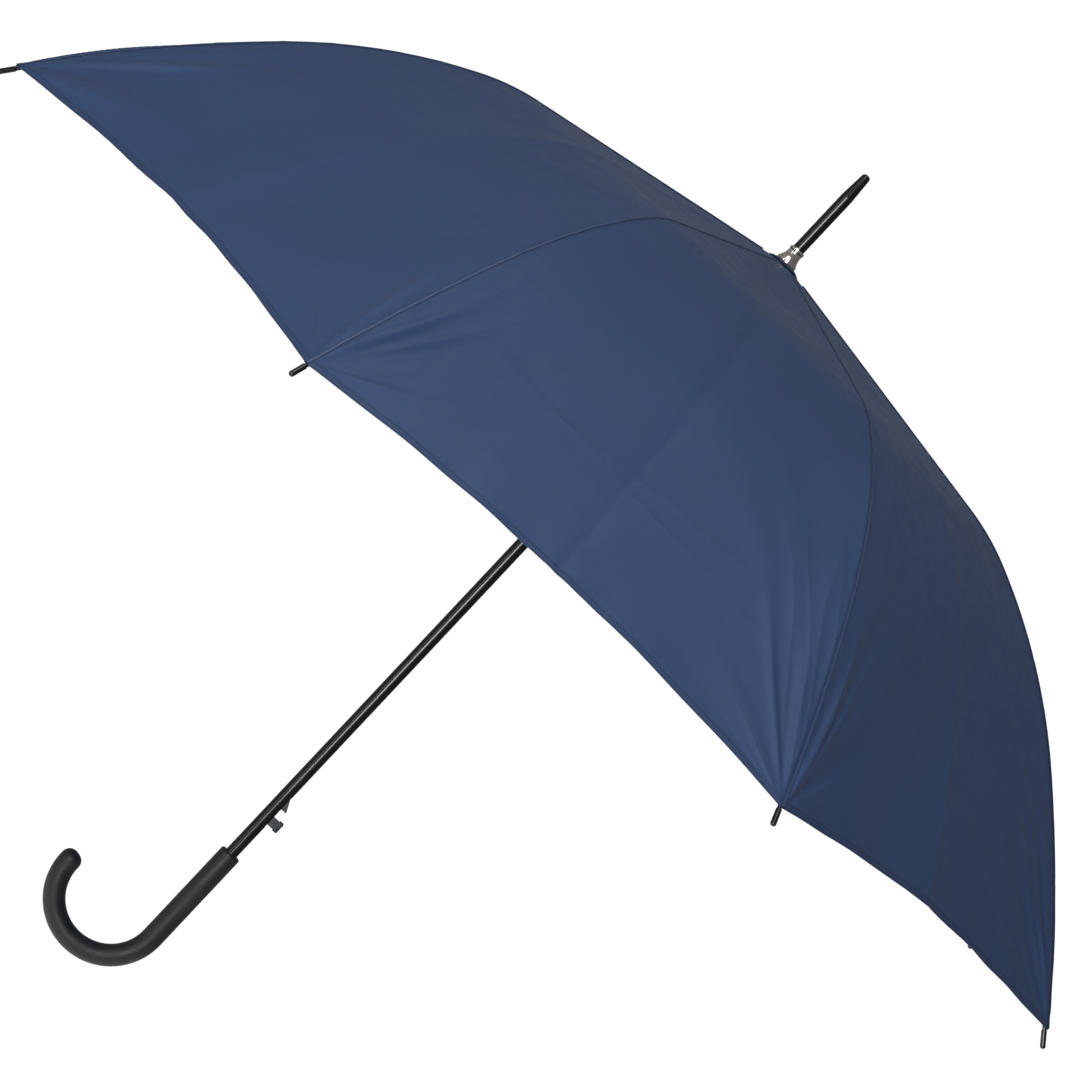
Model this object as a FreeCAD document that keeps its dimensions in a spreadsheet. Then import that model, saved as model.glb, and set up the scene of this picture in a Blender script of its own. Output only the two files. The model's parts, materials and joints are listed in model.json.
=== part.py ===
"""Automatic stick umbrella: steel shaft, crook handle, eight folding ribs and a stretched canopy.

Row frame: the origin is the middle of the straight grip on the shaft's axis, +Z runs up the shaft to the
ferrule, and the crook hooks towards -X. All lengths are millimetres and all angles degrees.
The umbrella stands open. Each rib turns about a ring of wire in the top notch, and its stretcher has the
same length from the rib joint to the runner's ring of wire as the rib has up to the notch.
"""
import FreeCAD, Part
import math
import os
import Sketcher

Vector = FreeCAD.Vector
Rotation = FreeCAD.Rotation
Placement = FreeCAD.Placement
X_AXIS = Vector(1, 0, 0)
Y_AXIS = Vector(0, 1, 0)
Z_AXIS = Vector(0, 0, 1)

doc = FreeCAD.newDocument("StickUmbrella")
sheet = doc.addObject("Spreadsheet::Sheet", "Sizes")

SIZES = {
    # handle
    "grip_length": 86.0,
    "grip_radius": 8.5,
    "grip_bore_depth": 60.0,
    "grip_end_round": 7.0,
    "grip_top_round": 1.2,
    "hook_radius": 42.0,
    "hook_sweep": 192.0,
    # shaft, and the crown's height above the middle of the grip
    "crown_height": 644.0,
    "shaft_radius": 5.0,
    "shaft_wall": 0.7,
    "shaft_above_crown": 11.9,
    "fit_gap": 0.05,
    "runner_gap": 0.08,
    # ferrule
    "ferrule_radius": 4.8,
    "ferrule_straight": 52.0,
    "ferrule_taper": 19.5,
    "ferrule_tip_radius": 3.5,
    "ferrule_tip_round": 3.1,
    "ferrule_spigot": 12.0,
    # collar and rosette on the crown
    "collar_base_radius": 8.4,
    "collar_top_radius": 5.7,
    "collar_rim": 1.6,
    "collar_low": 1.5,
    "rosette_radius": 15.3,
    "rosette_edge": 0.6,
    # release lever, button and catch
    "button_height": 38.0,
    "slot_width": 3.6,
    "slot_below": 6.5,
    "slot_above": 23.5,
    "lever_width": 3.0,
    "lever_inner": 2.6,
    "lever_outer": 3.8,
    "lever_pivot_offset": 2.0,
    "lever_pivot_depth": 5.0,
    "lever_pin_radius": 0.8,
    "catch_height": 11.6,
    "catch_reach": 4.2,
    "catch_ramp": 9.4,
    "button_stem_high": 7.4,
    "button_stem_reach": 5.2,
    "button_head_high": 9.1,
    "button_head_thick": 3.9,
    "button_head_width": 5.0,
    "button_round": 1.1,
    # hubs: top notch and runner
    "pivot_ring": 8.5,
    "ring_wire_radius": 0.7,
    "eye_gap": 0.09,
    "hub_radius": 12.0,
    "hub_slot_width": 2.2,
    "hub_slot_root": 6.0,
    "notch_above_pivot": 3.6,
    "notch_below_pivot": 4.4,
    "rivet_radius": 1.0,
    "notch_pin_gap": 0.2,
    "stop_pin_gap": 0.3,
    "runner_above_pivot": 3.5,
    "runner_slot_depth": 2.6,
    "runner_crown_depth": 4.5,
    "sleeve_radius": 7.5,
    "flange_high": 6.0,
    "button_clearance": 0.7,
    "keyway_width": 4.0,
    "keyway_reach": 9.7,
    "window_high": 13.7,
    # springs
    "spring_radius": 7.0,
    "spring_wire": 0.55,
    "spring_pitch": 2.4,
    "lever_spring_radius": 1.5,
    "lever_spring_wire": 0.25,
    "lever_spring_pitch": 1.1,
    # ribs and stretchers
    "rib_slope": 10.3,
    "rib_pivot_drop": 2.6,
    "joint_reach": 238.0,
    "joint_drop": 3.6,
    "flex_reach": 248.0,
    "channel_width": 3.2,
    "channel_inner": 2.2,
    "channel_half": 1.6,
    "channel_wall": 0.5,
    "rib_channel_start": 8.0,
    "stretcher_channel_start": 6.0,
    "tongue_thick": 1.6,
    "eye_radius": 1.8,
    "joint_eye": 2.0,
    "joint_half": 6.0,
    "flex_pin_radius": 0.8,
    "flex_eye": 1.4,
    "rod_radius": 1.5,
    "rod_start": 3.2,
    "kink_slope": 21.0,
    "mid_slope": 42.4,
    "rim_slope": 51.4,
    "rod_length_near": 176.0,
    "rod_length_far": 182.0,
    "rod_in_tip": 6.0,
    "tip_radius": 2.0,
    "tip_length": 13.0,
    "tip_start": 0.5,
    "tip_round": 1.8,
    # canopy
    "fabric_thick": 0.8,
    "fabric_depth": 3.6,
    "fabric_depth_radius": 8.0,
    "fabric_gap": 0.3,
    "fabric_hub_radius": 6.2,
    "panel_gap": 0.15,
    "hem_scallop": 14.0,
    # where the folded linkage stops, from straight down
    "folded_angle": 1.2,
}
for row, (alias, value) in enumerate(SIZES.items(), start=1):
    sheet.set(f"A{row}", alias)
    sheet.set(f"B{row}", str(value))
    sheet.setAlias(f"B{row}", alias)
doc.recompute()

RIBS = 8
FIRST_RIB = 22.5
RIB_SPACING = 360 / RIBS
HALF_GORE = RIB_SPACING / 2


def size(expression):
    """The value of an expression in the sheet's aliases."""
    return float(sheet.evalExpression(expression))


def linked(expression):
    """The same expression as another object of the document writes it."""
    names = sorted(SIZES, key=len, reverse=True)
    out = ""
    word = ""
    for letter in expression + " ":
        if letter.isalnum() or letter == "_":
            word += letter
            continue
        out += "Sizes." + word if word in names else word
        out += letter
        word = ""
    return out.strip()


def bind(item, **sizes):
    """Binds properties of an object to expressions in the sheet's aliases."""
    for name, expression in sizes.items():
        item.setExpression(name, linked(expression))


def new_body(name):
    return doc.addObject("PartDesign::Body", name)


def sketch_in(body, name, role="XZ_Plane", lift=None):
    """A sketch on one of the body's own origin planes, lifted along the plane's normal if asked."""
    sketch = body.newObject("Sketcher::SketchObject", name)
    plane = [item for item in body.Origin.OriginFeatures if item.Role == role][0]
    sketch.AttachmentSupport = [(plane, "")]
    sketch.MapMode = "FlatFace"
    if lift:
        sketch.setExpression(".AttachmentOffset.Base.z", linked(lift))
    return sketch


def hold(sketch, kind, geometry, point, expression):
    """Holds one coordinate of a point by a distance from the sketch's origin."""
    where = sketch.addConstraint(
        Sketcher.Constraint(kind, -1, 1, geometry, point, size(expression))
    )
    sketch.setExpression(f"Constraints[{where}]", linked(expression))


def outline(sketch, corners, closing_arc=None):
    """A closed outline through corners.

    A corner is (x, y), or (x, y, arc_x, arc_y) where an arc through the last two leads to it.
    closing_arc is the middle of an arc that leads back to the first corner.
    """
    points = [Vector(size(corner[0]), size(corner[1]), 0) for corner in corners]
    count = len(corners)
    for index in range(count):
        following = (index + 1) % count
        middle = corners[following][2:] if following else closing_arc
        start = points[index]
        end = points[following]
        if middle:
            through = Vector(size(middle[0]), size(middle[1]), 0)
            arc = Part.Arc(start, through, end)
            sketch.addGeometry(arc, False)
        else:
            sketch.addGeometry(Part.LineSegment(start, end), False)
    ends = []
    for index in range(count):
        forward = sketch.getPoint(index, 1).distanceToPoint(points[index]) < 1e-6
        ends.append((1, 2) if forward else (2, 1))
    for index in range(count):
        following = (index + 1) % count
        sketch.addConstraint(
            Sketcher.Constraint("Coincident", index, ends[index][1], following, ends[following][0])
        )
        hold(sketch, "DistanceX", index, ends[index][0], corners[index][0])
        hold(sketch, "DistanceY", index, ends[index][0], corners[index][1])


def ring(sketch, radius, x="0", y="0"):
    """A circle whose radius and centre are held by the sheet."""
    centre = Vector(size(x), size(y), 0)
    geometry = sketch.addGeometry(Part.Circle(centre, Z_AXIS, size(radius)), False)
    where = sketch.addConstraint(Sketcher.Constraint("Radius", geometry, size(radius)))
    sketch.setExpression(f"Constraints[{where}]", linked(radius))
    hold(sketch, "DistanceX", geometry, 3, x)
    hold(sketch, "DistanceY", geometry, 3, y)


def feature(body, kind, sketch, name, length=None, symmetric=False, reverse=False):
    """A Pad, Pocket, Revolution or Groove of a sketch."""
    item = body.newObject("PartDesign::" + kind, name)
    item.Profile = sketch
    if kind in ("Revolution", "Groove"):
        item.ReferenceAxis = (sketch, ["V_Axis"])
        item.Angle = 360
    else:
        bind(item, Length=length)
        if symmetric:
            item.SideType = "Symmetric"
        item.Reversed = reverse
    doc.recompute()
    return item


def turned(name, corners):
    """A body turned about its Z axis from one outline in the XZ plane."""
    body = new_body(name)
    sketch = sketch_in(body, name + "_outline")
    outline(sketch, corners)
    feature(body, "Revolution", sketch, name + "_turning")
    return body


def plate(body, name, corners, thick, kind="Pad", closing_arc=None, holes=()):
    """A plate, or a cut, of an outline in the XZ plane, symmetric about that plane."""
    sketch = sketch_in(body, name + "_outline")
    outline(sketch, corners, closing_arc)
    for hole in holes:
        ring(sketch, *hole)
    return feature(body, kind, sketch, name, length=thick, symmetric=True)


def box_corners(low_x, high_x, low_y, high_y):
    return [(low_x, low_y), (high_x, low_y), (high_x, high_y), (low_x, high_y)]


def round_edges(body, name, chosen, radius):
    """Fillets the edges of the body's last feature that pass a test."""
    base = body.Tip
    names = [f"Edge{n}" for n, edge in enumerate(base.Shape.Edges, start=1) if chosen(edge)]
    item = body.newObject("PartDesign::Fillet", name)
    item.Base = (base, names)
    bind(item, Radius=radius)
    doc.recompute()
    return item


def round_far_end(body, name, radius):
    """Rounds the edge at the +Z end of a turned body."""
    end = body.Tip.Shape.BoundBox.ZMax

    def at_end(edge):
        return edge.BoundBox.ZMin > end - 0.01

    return round_edges(body, name, at_end, radius)


def finish(item, label, placement=None):
    """Labels one sub-part and puts it in its place."""
    item.Label = label
    if placement is not None:
        item.Placement = placement
    SUB_PARTS.append(item)
    return item


def pin(name, radius, half_length, place, direction=Y_AXIS):
    """A plain round pin, centred on a place, along a direction."""
    item = doc.addObject("Part::Cylinder", name)
    bind(item, Radius=radius, Height=f"2 * ({half_length})")
    turn = Rotation(Z_AXIS, direction)
    middle = turn.multVec(Vector(0, 0, size(half_length)))
    item.Placement = Placement(place - middle, turn)
    return item


def headed_rivet(name, radius, half_grip, head_radius, head_high):
    """A rivet along Y with a flat head at each end."""
    end = f"{half_grip} + {head_high}"
    body = turned(
        name,
        [
            ("0", f"-({end})"),
            (head_radius, f"-({end})"),
            (head_radius, f"-({half_grip})"),
            (radius, f"-({half_grip})"),
            (radius, half_grip),
            (head_radius, half_grip),
            (head_radius, end),
            ("0", end),
        ],
    )
    return body


def coil(name, radius, wire, pitch, height, placement):
    """A helical spring about the Z axis of its placement."""
    helix = doc.addObject("Part::Helix", name + "_path")
    bind(helix, Radius=radius, Pitch=pitch)
    helix.Height = height
    circle = doc.addObject("Part::Circle", name + "_wire")
    bind(circle, Radius=wire)
    circle.Placement = Placement(Vector(size(radius), 0, 0), Rotation(X_AXIS, 90))
    sweep = doc.addObject("Part::Sweep", name)
    sweep.Sections = [circle]
    sweep.Spine = (helix, [])
    sweep.Solid = True
    sweep.Frenet = True
    doc.recompute()
    sweep.Placement = placement
    return sweep


SUB_PARTS = []

# ---------------------------------------------------------------- places that the linkage gives
CROWN = size("crown_height")
SLOPE = math.radians(size("rib_slope"))
ALONG = Vector(math.cos(SLOPE), 0, -math.sin(SLOPE))
ABOVE = Vector(math.sin(SLOPE), 0, math.cos(SLOPE))


def fabric_top(radius):
    """Height of the canopy's outer side above a straight rib, from the crown."""
    return -size("fabric_depth") - (radius - size("fabric_depth_radius")) * math.tan(SLOPE)


def rib_frame(distance, rise):
    """A point by its distance along a straight rib and its rise above the rib's centre line."""
    return RIB_START + ALONG * distance + ABOVE * rise


def turn_down(angle):
    """A turn in the rib's plane that carries +X down towards -Z."""
    return Rotation(Y_AXIS, angle)


fabric_rise = size("channel_half + fabric_gap") / math.cos(SLOPE) + size("fabric_thick")
start_radius = size("pivot_ring") + size("rib_pivot_drop") * math.sin(SLOPE)
RIB_START = Vector(start_radius, 0, fabric_top(start_radius) - fabric_rise)
NOTCH_PIVOT = rib_frame(0, -size("rib_pivot_drop"))
RIB_JOINT = rib_frame(size("joint_reach"), -size("joint_drop"))
FLEX_JOINT = rib_frame(size("flex_reach"), 0)
# the linkage is an isosceles triangle: notch pivot, rib joint, runner pivot
LINK = RIB_JOINT - NOTCH_PIVOT
STRETCHER_LENGTH = LINK.Length
RUNNER_PIVOT = Vector(NOTCH_PIVOT.x, 0, NOTCH_PIVOT.z + 2 * LINK.z)
STRETCHER_RISE = math.degrees(math.asin(-LINK.z / STRETCHER_LENGTH))
FOLD = 90 - STRETCHER_RISE - size("folded_angle")
folded_link = 2 * STRETCHER_LENGTH * math.cos(math.radians(size("folded_angle")))
RUNNER_PIVOT_FOLDED = NOTCH_PIVOT.z - folded_link


def arc_step(slope_in, slope_out, length):
    """How far an arc of that length carries a point outwards and down, between two slopes in degrees."""
    first = math.radians(slope_in)
    last = math.radians(slope_out)
    radius = length / (last - first)
    out = radius * (math.sin(last) - math.sin(first))
    down = radius * (math.cos(first) - math.cos(last))
    return Vector(out, 0, -down)


def rib_line(distance):
    """(point, slope in degrees) of the rib's centre line at a distance from its start."""
    bend = size("flex_reach")
    near = size("rod_length_near")
    far = size("rod_length_far")
    kink = size("kink_slope")
    middle = size("mid_slope")
    rim = size("rim_slope")
    if distance <= bend:
        return RIB_START + ALONG * distance, size("rib_slope")
    past = distance - bend
    if past <= near:
        slope = kink + (middle - kink) * past / near
        return FLEX_JOINT + arc_step(kink, slope, past), slope
    slope = middle + (rim - middle) * (past - near) / far
    start = FLEX_JOINT + arc_step(kink, middle, near)
    return start + arc_step(middle, slope, past - near), slope


def rib_offset(distance, rise):
    """A point above the rib's centre line, square to it."""
    point, slope = rib_line(distance)
    lean = math.radians(slope)
    return point + Vector(math.sin(lean), 0, math.cos(lean)) * rise


RIB_END = size("flex_reach + rod_length_near + rod_length_far")


def at_rib(index, place, turn=None):
    """Placement of something laid out in the rib's plane, carried round to rib number index."""
    round_shaft = Rotation(Z_AXIS, FIRST_RIB + RIB_SPACING * (index - 1))
    local = turn if turn is not None else Rotation()
    spot = round_shaft.multVec(place) + Vector(0, 0, CROWN)
    return Placement(spot, round_shaft.multiply(local))


# ---------------------------------------------------------------- shaft, handle and ends
def make_shaft():
    """Seamless tube with a slot for the catch and button, and holes for its cross pins."""
    body = new_body("shaft_tube_body")
    sketch = sketch_in(body, "tube_section", "XY_Plane", "grip_length / 2 - grip_bore_depth")
    ring(sketch, "shaft_radius")
    ring(sketch, "shaft_radius - shaft_wall")
    length = "crown_height + shaft_above_crown - grip_length / 2 + grip_bore_depth"
    feature(body, "Pad", sketch, "tube", length=length)
    button = "grip_length / 2 + button_height"
    slot = sketch_in(body, "slot_outline", "YZ_Plane")
    outline(
        slot,
        box_corners(
            "-slot_width / 2",
            "slot_width / 2",
            f"{button} - slot_below",
            f"{button} + slot_above",
        ),
    )
    feature(body, "Pocket", slot, "catch_slot", length="2 * shaft_radius", reverse=True)
    for name, x, z, radius in CROSS_HOLES:
        hole = sketch_in(body, name + "_outline")
        ring(hole, radius, x, z)
        feature(body, "Pocket", hole, name, length="4 * shaft_radius", symmetric=True)
    return finish(body, "shaft_tube")


NOTCH_PIN_Z = CROWN + NOTCH_PIVOT.z - size("notch_below_pivot - rivet_radius - notch_pin_gap")
STOP_PIN_Z = CROWN + RUNNER_PIVOT.z + size("runner_above_pivot + rivet_radius + stop_pin_gap")
LEVER_PIN_Z = size("grip_length / 2 - lever_pivot_depth")
CROSS_HOLES = [
    ("notch_pin_hole", "0", f"{NOTCH_PIN_Z}", "rivet_radius"),
    ("stop_pin_hole", "0", f"{STOP_PIN_Z}", "rivet_radius"),
    ("lever_pin_hole", "lever_pivot_offset", f"{LEVER_PIN_Z}", "lever_pin_radius"),
]


def make_handle():
    """Straight grip that runs into a crook, bored for the shaft."""
    body = new_body("handle_body")
    section = sketch_in(body, "grip_section", "XY_Plane", "grip_length / 2")
    ring(section, "grip_radius")
    path = sketch_in(body, "crook_path")
    top = size("grip_length / 2")
    bend = size("hook_radius")
    sweep = math.radians(size("hook_sweep"))
    centre = Vector(-bend, -top, 0)
    path.addGeometry(Part.LineSegment(Vector(0, top, 0), Vector(0, -top, 0)), False)
    half = Vector(math.cos(-sweep / 2), math.sin(-sweep / 2), 0)
    whole = Vector(math.cos(-sweep), math.sin(-sweep), 0)
    arc = Part.Arc(Vector(0, -top, 0), centre + half * bend, centre + whole * bend)
    path.addGeometry(arc, False)
    hold(path, "DistanceX", 0, 1, "0")
    hold(path, "DistanceY", 0, 1, "grip_length / 2")
    hold(path, "DistanceX", 0, 2, "0")
    hold(path, "DistanceY", 0, 2, "-grip_length / 2")
    hold(path, "DistanceX", 1, 3, "-hook_radius")
    hold(path, "DistanceY", 1, 3, "-grip_length / 2")
    doc.recompute()
    pipe = body.newObject("PartDesign::AdditivePipe", "crook")
    pipe.Profile = section
    pipe.Spine = (path, [])
    doc.recompute()
    end = centre + whole * bend
    end_place = Vector(end.x, 0, end.y)

    def on_crook_end(edge):
        return (edge.CenterOfMass - end_place).Length < 0.5 and edge.Length > size("6 * grip_radius")

    round_edges(body, "crook_end_rounding", on_crook_end, "grip_end_round")

    def on_grip_top(edge):
        return abs(edge.BoundBox.ZMin - top) < 1e-3 and abs(edge.BoundBox.ZMax - top) < 1e-3

    round_edges(body, "grip_top_rounding", on_grip_top, "grip_top_round")
    bore = sketch_in(body, "bore_section", "XY_Plane", "grip_length / 2")
    ring(bore, "shaft_radius")
    before = body.Shape.Volume
    cut = feature(body, "Pocket", bore, "shaft_bore", length="grip_bore_depth")
    if body.Shape.Volume >= before:
        cut.Reversed = True
        doc.recompute()
    return finish(body, "handle_crook")


def make_ferrule():
    """Solid cap whose spigot fits the tube, with a long taper to a blunt tip."""
    taper_end = "ferrule_straight + ferrule_taper"
    tip = "ferrule_straight + ferrule_taper + ferrule_tip_round"
    body = turned(
        "ferrule_body",
        [
            ("0", "-ferrule_spigot"),
            ("shaft_radius - shaft_wall", "-ferrule_spigot"),
            ("shaft_radius - shaft_wall", "0"),
            ("ferrule_radius", "0"),
            ("ferrule_radius", "ferrule_straight"),
            ("ferrule_tip_radius", taper_end),
            ("ferrule_tip_radius", tip),
            ("0", tip),
        ],
    )
    round_far_end(body, "ferrule_rounding", "ferrule_tip_round - 0.2")
    place = Vector(0, 0, CROWN + size("shaft_above_crown"))
    return finish(body, "ferrule_cap", Placement(place, Rotation()))


def make_collar():
    """Polished bell that holds the rosette down, with a bead round its neck."""
    body = turned(
        "collar_body",
        [
            ("shaft_radius", "-collar_low"),
            ("collar_base_radius", "-collar_low"),
            ("collar_base_radius", "collar_rim - collar_low"),
            (
                "collar_top_radius",
                "shaft_above_crown - 3",
                "collar_top_radius + 0.7",
                "shaft_above_crown - 7.9",
            ),
            ("collar_top_radius + 0.5", "shaft_above_crown - 2"),
            ("collar_top_radius + 0.5", "shaft_above_crown - 1"),
            ("collar_top_radius - 0.1", "shaft_above_crown"),
            ("shaft_radius", "shaft_above_crown"),
        ],
    )
    return finish(body, "crown_collar", Placement(Vector(0, 0, CROWN), Rotation()))


def make_rosette():
    """Small disc of canopy cloth between the collar and the crown of the canopy."""
    inner = size("shaft_radius")
    edge = size("rosette_radius")
    under_inner = fabric_top(inner) + size("fabric_gap")
    under_edge = fabric_top(edge) + size("fabric_gap")
    body = turned(
        "rosette_body",
        [
            ("shaft_radius", f"{under_inner}"),
            ("rosette_radius", f"{under_edge}"),
            ("rosette_radius", f"{under_edge} + rosette_edge"),
            ("collar_base_radius", "-collar_low"),
            ("shaft_radius", "-collar_low"),
        ],
    )
    return finish(body, "crown_rosette", Placement(Vector(0, 0, CROWN), Rotation()))


# ---------------------------------------------------------------- hubs
def hub_slots(body, low, high):
    """Eight radial slots for the flattened ends of the ribs or stretchers."""
    sketch = sketch_in(body, "hub_slot_outline")
    outline(sketch, box_corners("hub_slot_root", "hub_radius + 2", low, high))
    slot = feature(body, "Pocket", sketch, "hub_slot", length="hub_slot_width", symmetric=True)
    pattern = body.newObject("PartDesign::PolarPattern", "hub_slots")
    pattern.Originals = [slot]
    pattern.Axis = (sketch, ["V_Axis"])
    pattern.Angle = 360
    pattern.Occurrences = RIBS
    body.Tip = pattern
    doc.recompute()


def ring_groove(body):
    """The groove that the hub's ring of wire lies in, open to the outside."""
    sketch = sketch_in(body, "ring_groove_outline")
    corners = box_corners(
        "pivot_ring - ring_wire_radius",
        "hub_radius + 2",
        "-ring_wire_radius",
        "ring_wire_radius",
    )
    outline(sketch, corners)
    feature(body, "Groove", sketch, "ring_groove")


def make_notch():
    """Top notch, fixed to the shaft, that the ribs hinge in."""
    body = turned(
        "notch_body",
        [
            ("shaft_radius", "-notch_below_pivot"),
            ("hub_radius - 1.5", "-notch_below_pivot"),
            ("hub_radius", "-notch_below_pivot + 1"),
            ("hub_radius", "notch_above_pivot - 1"),
            ("hub_radius - 1", "notch_above_pivot"),
            ("shaft_radius", "notch_above_pivot"),
        ],
    )
    ring_groove(body)
    hub_slots(body, "-notch_below_pivot - 1", "notch_above_pivot + 1")
    pin_hole = sketch_in(body, "notch_pin_outline")
    sketch_turn = Rotation(Y_AXIS, -FIRST_RIB)
    pin_hole.AttachmentOffset = Placement(Vector(), sketch_turn)
    ring(pin_hole, "rivet_radius", "0", f"{NOTCH_PIN_Z - CROWN - NOTCH_PIVOT.z}")
    feature(body, "Pocket", pin_hole, "notch_pin_hole", length="3 * hub_radius", symmetric=True)
    return finish(body, "top_notch", hub_place(NOTCH_PIVOT.z))


def hub_place(height):
    """Placement of a hub whose first slot must face the first rib."""
    return Placement(Vector(0, 0, CROWN + height), Rotation(Z_AXIS, FIRST_RIB))


def make_ring_wire(name, height):
    """Ring of wire that the eyes turn on."""
    item = doc.addObject("Part::Torus", name + "_ring")
    bind(item, Radius1="pivot_ring", Radius2="ring_wire_radius")
    return finish(item, name, Placement(Vector(0, 0, CROWN + height), Rotation()))


def make_runner():
    """Runner: crown with eight slots, long sleeve, and a flange that the catch holds by its top."""
    grip_top = size("grip_length / 2")
    pivot = CROWN + RUNNER_PIVOT_FOLDED
    button_top = grip_top + size("button_height + button_stem_high / 2 + button_clearance")
    flange_low = button_top + size("button_head_high - button_stem_high") / 2 - pivot
    body = turned(
        "runner_body",
        [
            ("shaft_radius + runner_gap", f"{flange_low}"),
            ("hub_radius - 1", f"{flange_low}"),
            ("hub_radius", f"{flange_low} + 1"),
            ("hub_radius", f"{flange_low} + flange_high - 1"),
            ("hub_radius - 1", f"{flange_low} + flange_high"),
            ("sleeve_radius", f"{flange_low} + flange_high + 3"),
            ("sleeve_radius", "-2 * runner_crown_depth - 1"),
            ("hub_radius", "-runner_crown_depth"),
            ("hub_radius", "runner_above_pivot - 1"),
            ("hub_radius - 1", "runner_above_pivot"),
            ("shaft_radius + runner_gap", "runner_above_pivot"),
        ],
    )
    ring_groove(body)
    hub_slots(body, "-runner_slot_depth", "runner_above_pivot + 1")
    keyway = sketch_in(body, "keyway_outline", "XY_Plane")
    keyway.AttachmentOffset = Placement(Vector(0, 0, flange_low - 1), Rotation(Z_AXIS, -FIRST_RIB))
    outline(keyway, box_corners("0", "keyway_reach", "-keyway_width / 2", "keyway_width / 2"))
    before = body.Shape.Volume
    cut = feature(body, "Pocket", keyway, "catch_keyway", length="flange_high + window_high + 1")
    if body.Shape.Volume > before - 100:
        cut.Reversed = True
        doc.recompute()
    return finish(body, "runner_sleeve", hub_place(RUNNER_PIVOT.z))


# ---------------------------------------------------------------- release lever
def make_lever():
    """Strip inside the tube, hinged near the handle, with the catch's tooth at its upper end."""
    button = "grip_length / 2 + button_height"
    catch = f"{button} + catch_height"
    pivot = "grip_length / 2 - lever_pivot_depth"
    body = new_body("lever_body")
    corners = [
        ("lever_pivot_offset", f"{pivot} - 1.7"),
        ("lever_outer", f"{pivot} + 1.5", "lever_pivot_offset + 1.4", f"{pivot} - 0.9"),
        ("lever_outer", catch),
        ("shaft_radius + catch_reach", catch),
        ("shaft_radius + catch_reach", f"{catch} + 0.8"),
        ("shaft_radius", f"{catch} + catch_ramp"),
        ("lever_outer", f"{catch} + catch_ramp + 1.5"),
        ("lever_inner", f"{catch} + catch_ramp + 1.5"),
        ("lever_inner", f"{pivot} + 3"),
        ("lever_pivot_offset - 1.7", f"{pivot} + 0.6"),
    ]
    arc_back = ("lever_pivot_offset - 1.3", f"{pivot} - 1.1")
    hole = ("lever_pin_radius + fit_gap", "lever_pivot_offset", pivot)
    plate(body, "lever", corners, "lever_width", closing_arc=arc_back, holes=[hole])
    return finish(body, "catch_lever")


def make_button():
    """Push button on the lever: a stem through the slot and a wider head with rounded corners."""
    button = "grip_length / 2 + button_height"
    head = "shaft_radius + button_stem_reach"
    body = new_body("button_body")
    half_head = "button_head_high / 2"
    plate(
        body,
        "button_head",
        box_corners(
            head,
            f"{head} + button_head_thick",
            f"{button} - {half_head}",
            f"{button} + {half_head}",
        ),
        "button_head_width",
    )
    round_edges(
        body,
        "button_rounding",
        lambda edge: edge.BoundBox.XMax > size(head) + 0.1,
        "button_round",
    )
    half_stem = "button_stem_high / 2"
    plate(
        body,
        "button_stem",
        box_corners("lever_outer", f"{head} + 1", f"{button} - {half_stem}", f"{button} + {half_stem}"),
        "lever_width",
    )
    return finish(body, "release_button")


def make_lever_spring():
    """Small coil that pushes the lever's tooth out through the slot."""
    wall = size("shaft_radius - shaft_wall")
    wire = size("lever_spring_wire")
    length = wall + size("lever_inner") - 2 * wire - 0.4
    height = size("grip_length / 2 + button_height / 2")
    place = Placement(Vector(-wall + wire + 0.3, 0, height), Rotation(Z_AXIS, X_AXIS))
    spring = coil(
        "lever_spring_coil",
        "lever_spring_radius",
        "lever_spring_wire",
        "lever_spring_pitch",
        length,
        place,
    )
    return finish(spring, "lever_spring")


def make_opening_spring():
    """Long coil round the shaft from the runner's crown to the notch, which draws the runner up."""
    low = CROWN + RUNNER_PIVOT.z + size("runner_above_pivot + fabric_gap + spring_wire")
    high = CROWN + NOTCH_PIVOT.z - size("notch_below_pivot + spring_wire") - 0.1
    place = Placement(Vector(0, 0, low), Rotation())
    spring = coil("opening_coil", "spring_radius", "spring_wire", "spring_pitch", high - low, place)
    return finish(spring, "opening_spring")


# ---------------------------------------------------------------- ribs and stretchers
def channel(body, start, end, wall_on_top, open_from):
    """Folded steel channel along X, with its web cut away past open_from so that the joint can turn."""
    half = "channel_half"
    nose = [
        (start, f"-{half}"),
        (f"{end} - 1", f"-{half}"),
        (end, f"-{half} + 1"),
        (end, f"{half} - 1"),
        (f"{end} - 1", half),
        (start, half),
    ]
    plate(body, "channel", nose, "channel_width")
    web = f"({half} - channel_wall)"
    past = f"{end} + 1"
    if wall_on_top:
        hollow = box_corners(f"{start} - 1", past, f"-{half} - 1", web)
        opening = box_corners(open_from, past, f"{web} - 0.5", f"{half} + 1")
    else:
        hollow = box_corners(f"{start} - 1", past, f"-{web}", f"{half} + 1")
        opening = box_corners(open_from, past, f"-{half} - 1", f"-{web} + 0.5")
    plate(body, "hollow", hollow, "channel_inner", kind="Pocket")
    plate(body, "open_end", opening, "channel_inner", kind="Pocket")


def eye_hole(body, name, radius, x, y, width):
    sketch = sketch_in(body, name + "_outline")
    ring(sketch, radius, x, y)
    feature(body, "Pocket", sketch, name, length=width, symmetric=True)


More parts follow.
